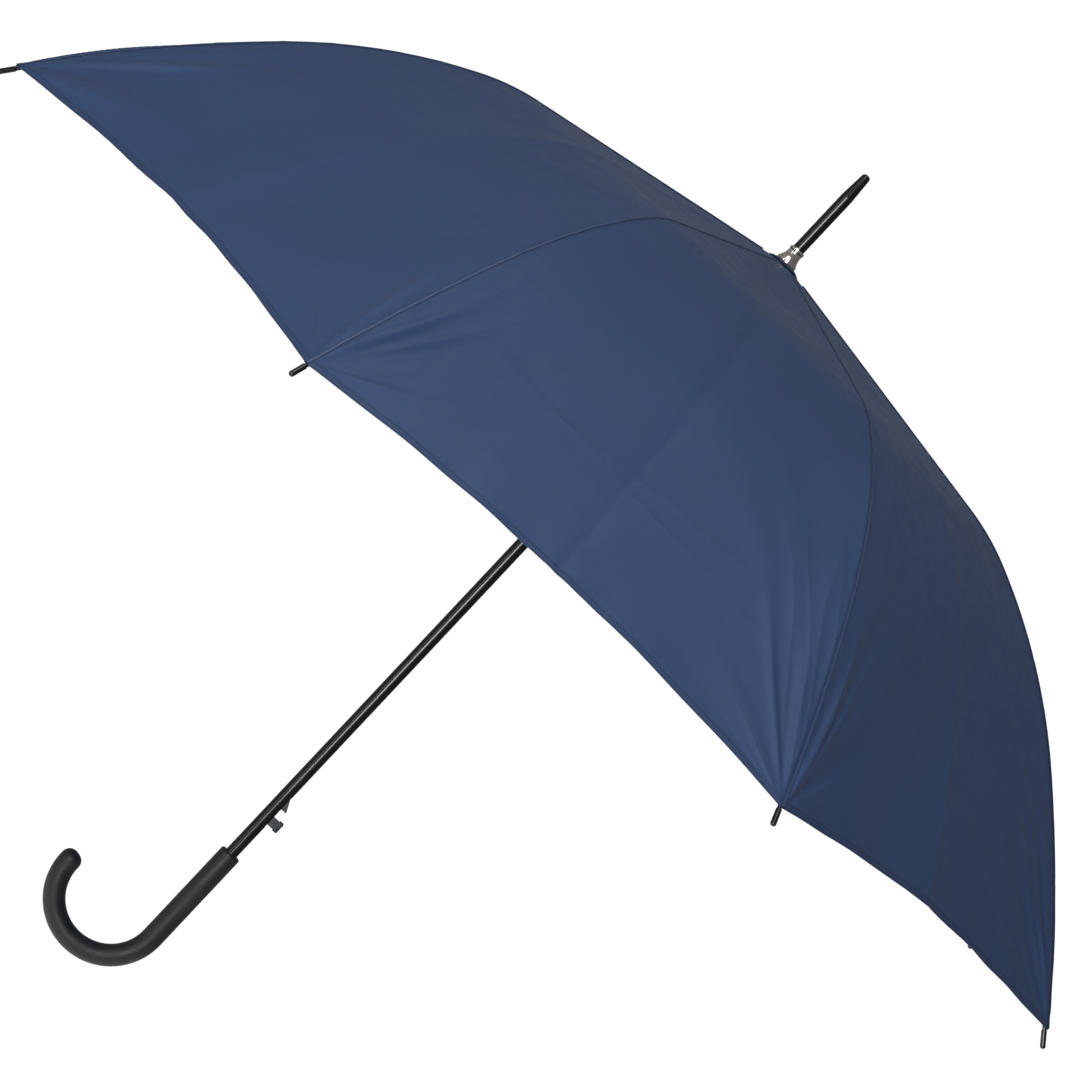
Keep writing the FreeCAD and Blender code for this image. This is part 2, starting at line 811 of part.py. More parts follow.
def make_rib_inner(index):
    """Channel from the notch to just past the stretcher's joint, with its joint plate and flex pin."""
    body = new_body(f"rib_channel_{index}")
    end = "flex_reach + channel_half"
    channel(body, "rib_channel_start", end, True, "flex_reach - 6")
    drop = "rib_pivot_drop"
    tongue = [
        ("0", f"-{drop} - eye_radius * 0.5"),
        ("rib_channel_start + 4", f"-{drop} - eye_radius * 0.5"),
        ("rib_channel_start + 6", "channel_half - channel_wall + 0.3"),
        ("0.8", "channel_half - channel_wall + 0.3"),
        ("-eye_radius", f"-{drop}"),
    ]
    plate(body, "tongue", tongue, "tongue_thick")
    eye = sketch_in(body, "eye_outline")
    ring(eye, "eye_radius", "0", f"-{drop}")
    feature(body, "Pad", eye, "eye", length="tongue_thick", symmetric=True)
    eye_hole(body, "eye_bore", "ring_wire_radius + eye_gap", "0", f"-{drop}", "tongue_thick + 1")
    eye_hole(body, "flex_bore", "flex_pin_radius", "flex_reach", "0", "channel_width + 1")
    joiner = new_body(f"rib_joint_plate_{index}")
    middle = "joint_reach"
    low = "-joint_drop"
    corners = [
        (f"{middle} + joint_half", "-1.2"),
        (f"{middle} + joint_half", "channel_half - channel_wall"),
        (f"{middle} - joint_half", "channel_half - channel_wall"),
        (f"{middle} - joint_half", "-1.2"),
        (f"{middle} - joint_eye", low),
        (f"{middle} + joint_eye", low, middle, f"{low} - joint_eye"),
    ]
    hole = ("rivet_radius + fit_gap", middle, low)
    plate(joiner, "joint_plate", corners, "tongue_thick", holes=[hole])
    rivet = headed_rivet(
        f"flex_rivet_{index}",
        "flex_pin_radius",
        "channel_width / 2",
        "flex_pin_radius + 0.5",
        "0.4",
    )
    rivet.Placement = Placement(Vector(size("flex_reach"), 0, 0), Rotation(Z_AXIS, Y_AXIS))
    group = doc.addObject("Part::Compound", f"rib_inner_group_{index}")
    group.Links = [body, joiner, rivet]
    return finish(group, f"rib_inner_{index}", at_rib(index, RIB_START, turn_down(size("rib_slope"))))


def make_rib_outer(index):
    """Springy rod that carries the rim, bent in two arcs, with a flattened eye at its root."""
    body = new_body(f"rib_rod_{index}")
    near = size("rod_length_near")
    near_turn = math.radians(size("mid_slope - kink_slope"))
    near_bend = near / near_turn
    far = size("rod_length_far + rod_in_tip")
    far_bend = size("rod_length_far") / math.radians(size("rim_slope - mid_slope"))

    def on_near(turn):
        return Vector(near_bend * math.sin(turn), -near_bend * (1 - math.cos(turn)), 0)

    joint = on_near(near_turn)
    far_centre = Vector(0, -near_bend, 0) + (joint - Vector(0, -near_bend, 0)) * (
        (near_bend - far_bend) / near_bend
    )

    def on_far(turn):
        return far_centre + Vector(math.sin(near_turn + turn), math.cos(near_turn + turn), 0) * far_bend

    first = size("rod_start") / near_bend
    section = sketch_in(body, "rod_section", "YZ_Plane", "rod_start")
    ring(section, "rod_radius", "0", f"{on_near(first).y}")
    path = sketch_in(body, "rod_path")
    path.addGeometry(Part.Arc(on_near(first), on_near((first + near_turn) / 2), joint), False)
    far_turn = far / far_bend
    path.addGeometry(Part.Arc(joint, on_far(far_turn / 2), on_far(far_turn)), False)
    doc.recompute()
    pipe = body.newObject("PartDesign::AdditivePipe", "rod")
    pipe.Profile = section
    pipe.Spine = (path, [])
    doc.recompute()
    corners = [
        ("0", "-flex_eye"),
        ("rod_start + 2.5", "-flex_eye"),
        ("rod_start + 2.5", "flex_eye"),
        ("0", "flex_eye"),
    ]
    plate(body, "flex_eye", corners, "tongue_thick", closing_arc=("-flex_eye", "0"))
    eye_hole(body, "flex_bore", "flex_pin_radius + fit_gap", "0", "0", "channel_width")
    place = at_rib(index, FLEX_JOINT, turn_down(size("kink_slope")))
    return finish(body, f"rib_outer_{index}", place)


def make_rib_tip(index):
    """Cap on the end of the rod, past the canopy's corner."""
    body = turned(
        f"tip_body_{index}",
        [
            ("rod_radius + fit_gap", "0"),
            ("tip_radius - 0.2", "0"),
            ("tip_radius", "0.3"),
            ("tip_radius", "tip_length"),
            ("0", "tip_length"),
            ("0", "rod_in_tip - tip_start + 0.3"),
            ("rod_radius + fit_gap", "rod_in_tip - tip_start + 0.3"),
        ],
    )
    round_far_end(body, "tip_rounding", "tip_round")
    point, slope = rib_line(RIB_END)
    lean = math.radians(slope)
    start = point + Vector(math.cos(lean), 0, -math.sin(lean)) * size("tip_start")
    return finish(body, f"rib_tip_{index}", at_rib(index, start, turn_down(90 + slope)))


def make_stretcher(index):
    """Channel from the runner's ring of wire to the rib's joint, with its rivet."""
    body = new_body(f"stretcher_channel_{index}")
    length = f"{STRETCHER_LENGTH}"
    channel(body, "stretcher_channel_start", f"{length} + channel_half", False, f"{length} - joint_half - 1")
    tongue = [
        ("0", "-1.4"),
        ("stretcher_channel_start + 4", "-1.4"),
        ("stretcher_channel_start + 4", "1.3"),
        ("0", "1.3"),
    ]
    plate(body, "tongue", tongue, "tongue_thick")
    eye = sketch_in(body, "eye_outline")
    ring(eye, "eye_radius")
    feature(body, "Pad", eye, "eye", length="tongue_thick", symmetric=True)
    eye_hole(body, "eye_bore", "ring_wire_radius + eye_gap", "0", "0", "tongue_thick + 1")
    eye_hole(body, "rivet_bore", "rivet_radius", length, "0", "channel_width + 1")
    rivet = headed_rivet(
        f"stretcher_rivet_{index}",
        "rivet_radius",
        "channel_width / 2",
        "rivet_radius + 0.6",
        "0.6",
    )
    rivet.Placement = Placement(Vector(STRETCHER_LENGTH, 0, 0), Rotation(Z_AXIS, Y_AXIS))
    group = doc.addObject("Part::Compound", f"stretcher_group_{index}")
    group.Links = [body, rivet]
    return finish(group, f"stretcher_{index}", at_rib(index, RUNNER_PIVOT, turn_down(-STRETCHER_RISE)))


# ---------------------------------------------------------------- canopy
def panel_section(side):
    """Closed section of the canopy in a plane through the shaft.

    side 0 is over the rib, and -1 or 1 is half a gore to that side, where the cloth lies on the straight
    lines from rib to rib and its hem is drawn up between the ribs.
    """
    turn = Rotation(Z_AXIS, side * HALF_GORE)
    spread = math.cos(math.radians(HALF_GORE)) if side else 1
    gap = Vector(0, -side * size("panel_gap"), 0)
    first = (size("fabric_hub_radius") - RIB_START.x) / math.cos(SLOPE)
    last = RIB_END - (size("hem_scallop") if side else 0)
    bend = size("flex_reach")
    rise = size("channel_half + fabric_gap")
    stations = [first, bend] + [bend + (last - bend) * step / 6 for step in range(1, 7)]
    lower = []
    for station in stations:
        point = rib_offset(station, rise)
        lower.append(turn.multVec(Vector(point.x * spread, 0, point.z) + gap))
    upper = [point + Vector(0, 0, size("fabric_thick")) for point in lower]
    edges = []
    for points in (lower, list(reversed(upper))):
        bent = points[1:] if points is lower else points[:-1]
        straight = points[:2] if points is lower else points[-2:]
        curve = Part.BSplineCurve()
        curve.interpolate(bent)
        pair = [Part.makeLine(straight[0], straight[1]), curve.toShape()]
        edges += pair if points is lower else list(reversed(pair))
    edges.insert(2, Part.makeLine(lower[-1], upper[-1]))
    edges.append(Part.makeLine(upper[0], lower[0]))
    return Part.Wire(edges)


def make_canopy_panel(index, shape):
    """The cloth that one rib carries: half a gore to each side of its seam."""
    item = doc.addObject("Part::Feature", f"canopy_panel_shape_{index}")
    item.Shape = shape
    return finish(item, f"canopy_panel_{index}", at_rib(index, Vector()))


def panel_shape():
    """One panel, made of two ruled halves that meet over the rib."""
    halves = []
    for side in (-1, 1):
        halves.append(Part.makeLoft([panel_section(0), panel_section(side)], True, True))
    return halves[0].fuse(halves[1])


# ---------------------------------------------------------------- the whole umbrella
make_shaft()
make_handle()
make_ferrule()
make_collar()
make_rosette()
make_notch()
make_ring_wire("notch_wire", NOTCH_PIVOT.z)
notch_pin = pin("notch_pin_shape", "rivet_radius", "hub_radius - 0.6", Vector(0, 0, NOTCH_PIN_Z))
finish(notch_pin, "notch_pin")
stop_pin = pin("stop_pin_shape", "rivet_radius", "shaft_radius + 0.9", Vector(0, 0, STOP_PIN_Z))
finish(stop_pin, "runner_stop_pin")
lever_pin_place = Vector(size("lever_pivot_offset"), 0, LEVER_PIN_Z)
finish(pin("lever_pin_shape", "lever_pin_radius", "shaft_radius - 0.9", lever_pin_place), "lever_pin")
make_opening_spring()
make_lever_spring()
make_lever()
make_button()
make_runner()
make_ring_wire("runner_wire", RUNNER_PIVOT.z)
panel = panel_shape()
for number in range(1, RIBS + 1):
    make_rib_inner(number)
    make_rib_outer(number)
    make_rib_tip(number)
    make_stretcher(number)
    make_canopy_panel(number, panel)

doc.recompute()
for item in doc.Objects:
    if "Invalid" in item.State or "Error" in item.State:
        raise RuntimeError(f"{item.Name} failed: {item.State}")
os.makedirs("parts", exist_ok=True)
for item in SUB_PARTS:
    if item.Shape.isNull() or not item.Shape.isValid():
        raise RuntimeError(f"{item.Label} has no valid shape")
    item.Shape.exportStep(f"parts/{item.Label}.step")

print("fold", FOLD, "stretcher rise", STRETCHER_RISE, "stretcher length", STRETCHER_LENGTH)
for name, place in (
    ("notch pivot", NOTCH_PIVOT),
    ("rib joint", RIB_JOINT),
    ("flex joint", FLEX_JOINT),
    ("runner pivot", RUNNER_PIVOT),
    ("rib end", rib_line(RIB_END)[0]),
):
    print(name, place.x, place.z + CROWN)
print("runner pivot folded", RUNNER_PIVOT_FOLDED + CROWN, "lever pin", LEVER_PIN_Z)
print(len(SUB_PARTS), "sub-parts")
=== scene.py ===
"""Automatic stick umbrella, open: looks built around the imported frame. Metres, row frame."""

import bpy
import json
import math
import numpy as np
from mathutils import Matrix, Vector


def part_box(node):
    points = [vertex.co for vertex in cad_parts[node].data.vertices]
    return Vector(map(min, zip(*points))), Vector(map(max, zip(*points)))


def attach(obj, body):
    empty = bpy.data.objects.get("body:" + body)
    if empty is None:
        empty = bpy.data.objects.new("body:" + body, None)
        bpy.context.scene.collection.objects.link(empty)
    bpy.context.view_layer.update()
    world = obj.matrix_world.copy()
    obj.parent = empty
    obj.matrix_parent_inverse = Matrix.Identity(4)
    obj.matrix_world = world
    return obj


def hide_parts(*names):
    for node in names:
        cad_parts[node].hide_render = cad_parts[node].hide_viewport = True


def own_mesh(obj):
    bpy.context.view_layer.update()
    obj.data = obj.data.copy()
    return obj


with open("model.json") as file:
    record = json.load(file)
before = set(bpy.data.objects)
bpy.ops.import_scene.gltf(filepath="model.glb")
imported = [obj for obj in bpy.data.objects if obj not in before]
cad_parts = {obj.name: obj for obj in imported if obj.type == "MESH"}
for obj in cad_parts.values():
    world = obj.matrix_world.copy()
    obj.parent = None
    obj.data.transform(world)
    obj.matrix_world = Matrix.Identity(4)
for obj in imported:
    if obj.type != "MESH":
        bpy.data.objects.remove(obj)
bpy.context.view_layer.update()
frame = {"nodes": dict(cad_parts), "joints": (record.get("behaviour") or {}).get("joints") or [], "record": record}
scene = bpy.context.scene

# ------------------------------------------------------------------ the canopy's dimensions
RIBS = 8
HALF = math.pi / RIBS
RIB_START_R = 0.008965
RIB_START_Z = 0.637493
SLOPES = (10.3, 21.0, 42.4, 51.4)
LENGTHS = (0.248, 0.176, 0.182)
FLEX = LENGTHS[0]
MIDDLE = LENGTHS[0] + LENGTHS[1]
RIM = sum(LENGTHS)
LIFT = 0.0027
KINK_EASE = 0.022
HUB_R = 0.0062
SCALLOP = 0.014
HEM = 0.0055
HEM_THICK = 0.0006
TAPE_HALF = 0.0012
STITCH = 0.0014
LINE_LEAD = 0.012
BEND_END = 0.336
OUTER_END = 0.515
UP = np.array([0, 0, 1.0])


def joint_at(name):
    """A joint's place in the row frame."""
    joint = next(j for j in frame["joints"] if j["name"] == name)
    return Vector(joint["pos_m"])


def rib_angle(rib):
    """Azimuth of a rib, read from its flex joint."""
    place = joint_at(f"rib_flex_{rib}")
    return math.atan2(place.y, place.x)


def slope_at(s):
    """The cloth's slope along a rib in radians, eased over the rib's bend at the flex joint."""
    s = np.asarray(s, float)
    first, kink, middle, rim = (math.radians(a) for a in SLOPES)
    eased = kink + (middle - kink) * KINK_EASE / LENGTHS[1]
    share = np.clip((s - FLEX + KINK_EASE) / (2 * KINK_EASE), 0, 1)
    near = kink + (middle - kink) * (s - FLEX) / LENGTHS[1]
    far = middle + (rim - middle) * (s - MIDDLE) / LENGTHS[2]
    out = np.where(s < MIDDLE, near, far)
    return np.where(s < FLEX + KINK_EASE, first + (eased - first) * share, out)


LINE_S = np.linspace(-LINE_LEAD, RIM + 0.004, 6161)
LINE_SLOPE = slope_at(LINE_S)
STEP = LINE_S[1] - LINE_S[0]
START_AT = int(round(LINE_LEAD / STEP))


def running(values, start):
    """The running sum of values along the line, equal to start at the rib's own start."""
    total = np.concatenate([[0], np.cumsum((values[1:] + values[:-1]) / 2) * STEP])
    return total - total[START_AT] + start


LINE_R = running(np.cos(LINE_SLOPE), RIB_START_R) + LIFT * np.sin(LINE_SLOPE)
LINE_Z = running(-np.sin(LINE_SLOPE), RIB_START_Z) + LIFT * np.cos(LINE_SLOPE)
HUB_S = float(np.interp(HUB_R, LINE_R, LINE_S))


def smooth(a, b, x):
    """0 below a, 1 above b, smooth in between."""
    t = np.clip((x - a) / (b - a), 0, 1)
    return t * t * (3 - 2 * t)


class Gore:
    """The cloth between two ribs. u runs from -1 at the first rib to 1 at the next, s along the ribs."""

    def __init__(self, number):
        self.number = number
        middle = rib_angle(number) + HALF
        self.out = np.array([math.cos(middle), math.sin(middle), 0.0])
        self.across = np.array([-math.sin(middle), math.cos(middle), 0.0])
        rng = np.random.default_rng(410 + number)
        self.folds = {side: self.tip_folds(rng) for side in (-1, 1)}
        self.pucker = {side: rng.uniform(0, 6.28, 6) for side in (-1, 1)}
        self.hem_phase = rng.uniform(0, 6.28, 5)
        self.swell = [
            (rng.uniform(0.55, 1.0) * 0.0006, rng.uniform(18, 34), rng.uniform(-14, 14), rng.uniform(0, 6.28))
            for _ in range(5)
        ]
        self.crease = rng.uniform(0.10, 0.13) * (1 if number % 3 else -1)
        self.cross = [
            (rng.uniform(0.2, 0.56), rng.uniform(-1, 1) * 0.022, rng.uniform(-0.1, 0.1)) for _ in range(3)
        ]

    @staticmethod
    def tip_folds(rng):
        """Folds that run from a rib tip into the cloth.

        Each has its angle from the rib, its width and height, where it peaks and ends, and its power: 2 for a
        round fold, 1 for a sharp one.
        """
        folds = []
        for _ in range(5):
            where, width = rng.uniform(0.3, 1.4), rng.uniform(0.09, 0.17)
            folds.append((where, width, rng.uniform(-1, 1) * 0.0021, 0.05, 0.13, 2))
        for _ in range(5):
            where, width = rng.uniform(0.05, 0.5), rng.uniform(0.03, 0.05)
            folds.append((where, width, rng.uniform(0.5, 1.2) * 0.001, 0.05, 0.12, 2))
        for _ in range(3):
            where, width = rng.uniform(0.1, 0.5), rng.uniform(0.05, 0.09)
            folds.append((where, width, rng.uniform(-1, 1) * 0.0016, 0.11, 0.26, 2))
        for start in (0.035, 0.09, 0.17, 0.28):
            where = start + rng.uniform(0, 0.05)
            folds.append((where, rng.uniform(0.012, 0.02), rng.uniform(0.7, 1.2) * 0.001, 0.085, 0.16, 1))
        for start in (0.5, 0.85, 1.15):
            where = start + rng.uniform(-0.1, 0.1)
            folds.append((where, rng.uniform(0.03, 0.06), rng.uniform(0.6, 1.2) * 0.0011, 0.025, 0.06, 1))
        return folds

    def rim(self, u):
        """Where the hem is, drawn up between the ribs."""
        return RIM - SCALLOP * (1 - u * u)

    def height(self, s, u):
        """How far the cloth stands off its stretched shape."""
        radius = np.interp(s, LINE_S, LINE_R)
        half_width = radius * math.sin(HALF)
        from_hem = np.maximum(self.rim(u) - s, 0)
        total = np.zeros_like(s)
        for side in (-1, 1):
            from_rib = (1 - side * u) * half_width
            to_tip = np.maximum(RIM - s, 1e-6)
            reach = np.hypot(from_rib, to_tip)
            angle = np.arctan2(from_rib, to_tip)
            near_tip = np.zeros_like(s)
            for where, width, high, peak, end, power in self.folds[side]:
                wander = where + 0.03 * np.sin(reach * 30 + where * 40)
                along = (reach / peak) * np.exp(1 - reach / peak) * (1 - smooth(end * 0.6, end * 1.5, reach))
                spread = np.hypot(width, 0.0026 / np.maximum(reach, 0.004))
                away = np.abs(angle - wander) / spread
                near_tip += high * along * (width / spread) ** 0.5 * np.exp(-(away**power))
            total += near_tip * smooth(0, 0.004, from_rib)
            a, b, c, d, e, f = self.pucker[side]
            fine = np.sin(s * 520 + 1.7 * np.sin(s * 47 + a) + b)
            ripple = fine + 0.7 * np.sin(s * 331 + 2 * np.sin(s * 29 + c) + d)
            strength = 0.45 + 0.55 * np.sin(s * 21 + e) * np.sin(s * 8.5 + f)
            total += 0.00016 * ripple * strength * np.exp(-from_rib / 0.009) * smooth(0, 0.002, from_rib)
        across = u * half_width
        a, b, c, d, e = self.hem_phase
        short = np.sin(across * 380 + 2.2 * np.sin(across * 41 + a) + b)
        short = short * (0.5 + 0.5 * np.sin(across * 23 + c))
        long = np.sin(across * 84 + 1.3 * np.sin(across * 17 + d) + e)
        hem_waves = 0.00010 * short * np.exp(-from_hem / 0.012)
        total += hem_waves + 0.0006 * long * np.exp(-from_hem / 0.05) * (1 - u**4)
        body = (1 - u * u) ** 1.2 * smooth(0.05, 0.2, s)
        for high, per_s, per_u, phase in self.swell:
            total += high * body * np.sin(per_s * s + per_u * across * 2.2 + phase)
        total += self.crease * 0.012 * np.exp(-np.abs(across) / 0.012) * smooth(0.03, 0.12, s)
        for place, tilt, bow in self.cross:
            away = np.abs(s - place - tilt * u - bow * (u * u - 0.3) * 0.2)
            total += 0.0004 * np.exp(-away / 0.004) * (1 - u * u)
        raised = 0.0002 * (1 - smooth(HEM - 0.0006, HEM + 0.0006, from_hem))
        return total * smooth(0.012, 0.05, s) + raised

    def base(self, s, u):
        """The stretched cloth: straight lines from rib to rib, following the ribs' line."""
        radius = np.interp(s, LINE_S, LINE_R)[..., None]
        high = np.interp(s, LINE_S, LINE_Z)[..., None]
        cosine, sine = math.cos(HALF), math.sin(HALF)
        flat = cosine * self.out + u[..., None] * sine * self.across
        return radius * flat + high * UP

    def lean(self, s):
        """The stretched cloth's outward normal."""
        slope = np.interp(s, LINE_S, LINE_SLOPE)[..., None]
        normal = np.sin(slope) * self.out + np.cos(slope) * math.cos(HALF) * UP
        return normal / np.linalg.norm(normal, axis=-1, keepdims=True)

    def place(self, s, u, lift=0.0):
        """A point of the finished cloth, and lift above it."""
        return self.base(s, u) + (self.height(s, u) + lift)[..., None] * self.lean(s)

    def normal(self, s, u):
        """The finished cloth's outward normal."""
        step = 0.0006
        half_width = np.maximum(np.interp(s, LINE_S, LINE_R) * math.sin(HALF), 0.002)
        along = self.place(s + step, u) - self.place(s - step, u)
        side = step / half_width
        across = self.place(s, np.minimum(u + side, 1)) - self.place(s, np.maximum(u - side, -1))
        out = np.cross(along, across)
        return out / np.linalg.norm(out, axis=-1, keepdims=True)


GORES = {number: Gore(number) for number in range(1, RIBS + 1)}


# ------------------------------------------------------------------ mesh helpers
class Cloth:
    """Grids of points that become one mesh, with their own normals and two UV maps."""

    def __init__(self):
        self.points, self.normals, self.weave, self.edge, self.faces = [], [], [], [], []
        self.count = 0

    def grid(self, points, normals, weave, edge, flip=False):
        rows, columns = points.shape[:2]
        index = np.arange(rows * columns).reshape(rows, columns) + self.count
        a, b, c, d = index[:-1, :-1], index[1:, :-1], index[1:, 1:], index[:-1, 1:]
        quads = np.stack([a, d, c, b] if flip else [a, b, c, d], axis=-1).reshape(-1, 4)
        self.faces.append(quads)
        self.points.append(points.reshape(-1, 3))
        self.normals.append(normals.reshape(-1, 3))
        self.weave.append(weave.reshape(-1, 2))
        self.edge.append(edge.reshape(-1, 2))
        self.count += rows * columns

    def build(self, name, material):
        mesh = bpy.data.meshes.new(name)
        points = np.concatenate(self.points)
        faces = np.concatenate(self.faces)
        mesh.from_pydata(points.tolist(), [], faces.tolist())
        corners = np.array([loop.vertex_index for loop in mesh.loops])
        for label, values in (("Cloth", self.weave), ("Edge", self.edge)):
            layer = mesh.uv_layers.new(name=label)
            layer.data.foreach_set("uv", np.concatenate(values)[corners].astype(np.float32).ravel())
        mesh.polygons.foreach_set("use_smooth", [True] * len(mesh.polygons))
        mesh.update()
        mesh.normals_split_custom_set_from_vertices(np.concatenate(self.normals).tolist())
        mesh.materials.append(material)
        item = bpy.data.objects.new(name, mesh)
        scene.collection.objects.link(item)
        return item


def side_grid(gore, side, first, last, rows, columns):
    """s and u over half a gore, from the rib at side to the middle, with columns closer near the rib."""
    t = np.linspace(0, 1, columns) ** 1.15
    u = side * (1 - t)
    v = np.linspace(0, 1, rows)
    end = gore.rim(u) if last is None else np.full(columns, last)
    s = first + v[:, None] * (end[None, :] - first)
    return s, np.broadcast_to(u, s.shape).copy()


def cloth_maps(gore, s, u):
    """The UV maps: metres across and along the cloth, and metres from the seam and from the hem."""
    half_width = np.interp(s, LINE_S, LINE_R) * math.sin(HALF)
    weave = np.stack([u * half_width + gore.number, s], axis=-1)
    edge = np.stack([(1 - np.abs(u)) * half_width, gore.rim(u) - s], axis=-1)
    return weave, edge


# ------------------------------------------------------------------ materials
class Shader:
    """A material with a Principled shader, built one node at a time."""

    def __init__(self, name, colour, roughness, metallic=0.0, specular=0.5):
        self.material = bpy.data.materials.new(name)
        self.material.use_nodes = True
        self.tree = self.material.node_tree
        self.shader = self.tree.nodes["Principled BSDF"]
        self.set("Base Color", (*colour, 1))
        self.set("Roughness", roughness)
        self.set("Metallic", metallic)
        self.set("Specular IOR Level", specular)

    def set(self, socket, value):
        self.shader.inputs[socket].default_value = value

    def add(self, kind, links=(), **values):
        """A node: links are (input, output socket) pairs, values go on inputs or on the node itself."""
        made = self.tree.nodes.new(kind)
        for key, value in values.items():
            if hasattr(made, key):
                setattr(made, key, value)
            else:
                made.inputs[key.replace("_", " ")].default_value = value
        for key, output in links:
            self.tree.links.new(output, made.inputs[key])
        return made

    def coordinates(self):
        return self.add("ShaderNodeTexCoord").outputs["Object"]

    def noise(self, vector, scale, detail=3.0, roughness=0.55, stretch=None):
        if stretch:
            vector = self.add("ShaderNodeMapping", [("Vector", vector)], Scale=stretch).outputs["Vector"]
        made = self.add(
            "ShaderNodeTexNoise", [("Vector", vector)], Scale=scale, Detail=detail, Roughness=roughness
        )
        return made.outputs["Fac"]

    def math(self, operation, a, b=None):
        made = self.add("ShaderNodeMath", operation=operation)
        for slot, value in enumerate((a, b)):
            if value is None:
                continue
            if isinstance(value, (int, float)):
                made.inputs[slot].default_value = value
            else:
                self.tree.links.new(value, made.inputs[slot])
        return made.outputs[0]

    def ramp(self, value, low, high, to_low, to_high):
        made = self.add("ShaderNodeMapRange", [("Value", value)], interpolation_type="SMOOTHSTEP")
        for key, number in (("From Min", low), ("From Max", high), ("To Min", to_low), ("To Max", to_high)):
            made.inputs[key].default_value = number
        return made.outputs["Result"]

    def blend_colours(self, factor, first, second):
        made = self.add("ShaderNodeMix", data_type="RGBA")
        self.tree.links.new(factor, made.inputs["Factor"])
        for key, value in (("A", first), ("B", second)):
            socket = next(s for s in made.inputs if s.name == key and s.type == "RGBA")
            if isinstance(value, tuple):
                socket.default_value = (*value, 1)
            else:
                self.tree.links.new(value, socket)
        return next(s for s in made.outputs if s.type == "RGBA")

    def bump(self, height, strength, distance, under=None):
        links = [("Height", height)] + ([("Normal", under)] if under else [])
        return self.add("ShaderNodeBump", links, Strength=strength, Distance=distance).outputs["Normal"]

    def link(self, output, socket):
        self.tree.links.new(output, self.shader.inputs[socket])

    def polyester_sheen(self):
        self.set("Sheen Weight", 0.06)
        self.set("Sheen Roughness", 0.4)
        self.set("Sheen Tint", (0.62, 0.68, 1.0, 1))


def cloth_material():
    """Navy polyester in a fine plain weave, with a soft sheen and a stitched hem, and painted shade beside the
    seams.
    """
    m = Shader("navy_polyester", (0.028, 0.056, 0.14), 0.52, specular=0.26)
    m.polyester_sheen()
    weave = m.add("ShaderNodeUVMap", uv_map="Cloth").outputs["UV"]
    edge = m.add("ShaderNodeUVMap", uv_map="Edge").outputs["UV"]
    split = m.add("ShaderNodeSeparateXYZ", [("Vector", edge)])
    along = m.add("ShaderNodeSeparateXYZ", [("Vector", weave)])
    seam, hem = split.outputs["X"], split.outputs["Y"]
    patches = m.noise(weave, 9.0, 2.0)
    threads = m.noise(weave, 1.0, 2.0, stretch=(1900, 40, 1))
    picks = m.noise(weave, 1.0, 2.0, stretch=(36, 1500, 1))
    streaks = m.math("MULTIPLY", m.math("ADD", threads, picks), 0.5)
    dark, light = (0.0235, 0.0485, 0.117), (0.0315, 0.0610, 0.143)
    colour = m.blend_colours(m.ramp(patches, 0.3, 0.7, 0.3, 0.7), dark, light)
    colour = m.blend_colours(m.ramp(streaks, 0.35, 0.65, 0.0, 0.35), colour, light)
    near_hem = m.ramp(hem, HEM - 0.0004, HEM + 0.0004, 1.0, 0.0)
    colour = m.blend_colours(m.math("MULTIPLY", near_hem, 0.22), colour, (0.016, 0.031, 0.08))
    lines = []
    for distance in (0.0044, 0.0008):
        off = m.math("ABSOLUTE", m.math("SUBTRACT", hem, distance))
        line = m.ramp(off, 0.0002, 0.0005, 1.0, 0.0)
        dash = m.ramp(m.math("PINGPONG", along.outputs["X"], STITCH), 0.0002, 0.0004, 0.0, 1.0)
        lines.append(m.math("MULTIPLY", line, dash))
    stitches = m.math("MAXIMUM", lines[0], lines[1])
    colour = m.blend_colours(m.math("MULTIPLY", stitches, 0.55), colour, (0.010, 0.018, 0.045))
    # Painted shade: the cloth is darkened in a band beside each seam, where the raised tape would shade it.
    painted_seam_shade = m.ramp(seam, 0.0012, 0.0034, 0.45, 0.0)
    colour = m.blend_colours(painted_seam_shade, colour, (0.016, 0.030, 0.072))
    m.link(colour, "Base Color")
    m.link(m.ramp(m.noise(weave, 60.0, 4.0), 0.25, 0.75, 0.44, 0.60), "Roughness")
    scaled = m.add("ShaderNodeMapping", [("Vector", weave)], Scale=(11500, 11500, 1)).outputs["Vector"]
    axes = m.add("ShaderNodeSeparateXYZ", [("Vector", scaled)])
    over = m.math("MULTIPLY", m.math("SINE", axes.outputs["X"]), m.math("SINE", axes.outputs["Y"]))
    grain = m.math("ADD", m.math("MULTIPLY", over, 0.5), m.math("MULTIPLY", streaks, 1.3))
    crumple = m.noise(weave, 95.0, 3.0, stretch=(1.6, 1.0, 1))
    normal = m.bump(crumple, 0.03, 0.001)
    normal = m.bump(grain, 0.22, 0.00014, normal)
    normal = m.bump(m.math("MULTIPLY", stitches, -1.0), 0.6, 0.0003, normal)
    m.link(normal, "Normal")
    return m.material


